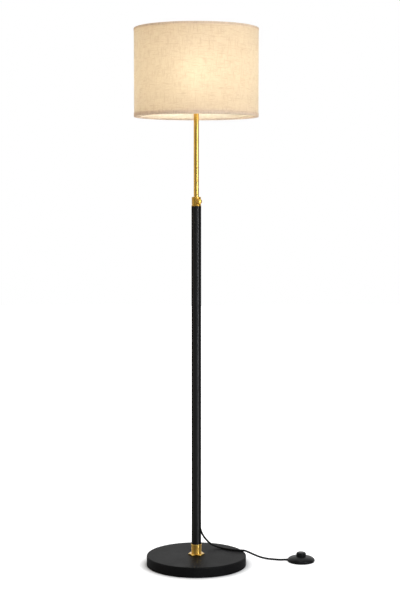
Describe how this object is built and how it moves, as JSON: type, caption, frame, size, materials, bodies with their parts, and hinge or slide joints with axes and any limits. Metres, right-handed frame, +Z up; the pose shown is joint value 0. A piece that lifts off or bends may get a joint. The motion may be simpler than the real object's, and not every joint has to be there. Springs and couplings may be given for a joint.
{
  "type": "floor lamp",
  "caption": "Telescopic floor lamp: round black base and pole, brass mast with a thumb-screw clamp, linen drum shade and a foot switch on a short lead.",
  "frame": {"origin": "centre of the base on the floor", "axes": "+Z up along the pole, -Y towards the front of the picture, +X to its right"},
  "size_m": [0.4533, 0.306, 1.3333],
  "materials": {
    "black_powder": "fine matt powder coat",
    "cast_iron": "raw casting",
    "foam": "closed-cell foam",
    "zinc_steel": "zinc plated",
    "brass": "polished, lacquered",
    "nylon": "natural nylon",
    "black_pvc": "satin PVC",
    "phenolic": "moulded phenolic",
    "urea": "moulded urea resin",
    "white_wire": "white enamel",
    "liner": "translucent styrene",
    "linen": "slubby linen, translucent",
    "binding": "folded linen tape",
    "opal_glass": "frosted, lit from inside",
    "bulb_metal": "rolled nickel-plated",
    "switch_black": "moulded, satin"
  },
  "bodies": {
    "stand": {"base_pad": "foam", "base_weight": "cast_iron", "base_cover": "black_powder", "base_stud": "zinc_steel", "base_washer": "zinc_steel", "base_nut": "zinc_steel", "hex_flange": "brass", "coupling_sleeve": "brass", "lower_pole": "black_powder", "cord_relief": "black_pvc", "pole_lead": "black_pvc", "clamp_collar": "brass", "switch_plate": "switch_black", "switch_cover": "switch_black", "switch_spring": "zinc_steel", "switch_block": "nylon", "switch_screws": "zinc_steel", "switch_relief": "black_pvc", "lead_cord": "black_pvc"},
    "clamp": {"clamp_screw": "brass"},
    "carriage": {"mast_guide": "nylon"},
    "mast": {"mast_clips": "zinc_steel", "mast_tube": "brass", "mast_lead": "black_pvc", "mast_nipple": "zinc_steel", "nipple_nut": "zinc_steel", "holder_cap": "phenolic", "holder_block": "urea", "holder_contact": "brass", "holder_shell": "brass", "holder_skirt": "phenolic", "shade_ring_nut": "phenolic", "bulb_cap": "bulb_metal", "bulb_glass": "opal_glass", "shade_carrier": "white_wire", "shade_top_wire": "white_wire", "shade_liner": "liner", "shade_fabric": "linen", "shade_top_trim": "binding", "shade_bottom_trim": "binding"},
    "button": {"switch_button": "switch_black"}
  },
  "joints": [
    {"name": "mast_slide", "type": "slide", "parent": "stand", "child": "carriage", "axis": [0, 0, 1], "range_m": [-0.2, 0.2], "deforming": ["pole_lead"]},
    {"name": "mast_turn", "type": "hinge", "parent": "carriage", "child": "mast", "pos_m": [0, 0, 0.9], "axis": [0, 0, 1], "range_deg": [-180, 180]},
    {"name": "clamp_screw_turn", "type": "hinge", "parent": "stand", "child": "clamp", "pos_m": [0, 0, 0.91175], "axis": [0.342, -0.9397, 0], "range_deg": [0, 360]},
    {"name": "foot_button_press", "type": "slide", "parent": "stand", "child": "button", "axis": [0, 0, -1], "range_m": [0, 0.003], "stiffness_N_per_m": 700, "springref_m": -0.003, "deforming": ["switch_spring"]}
  ]
}
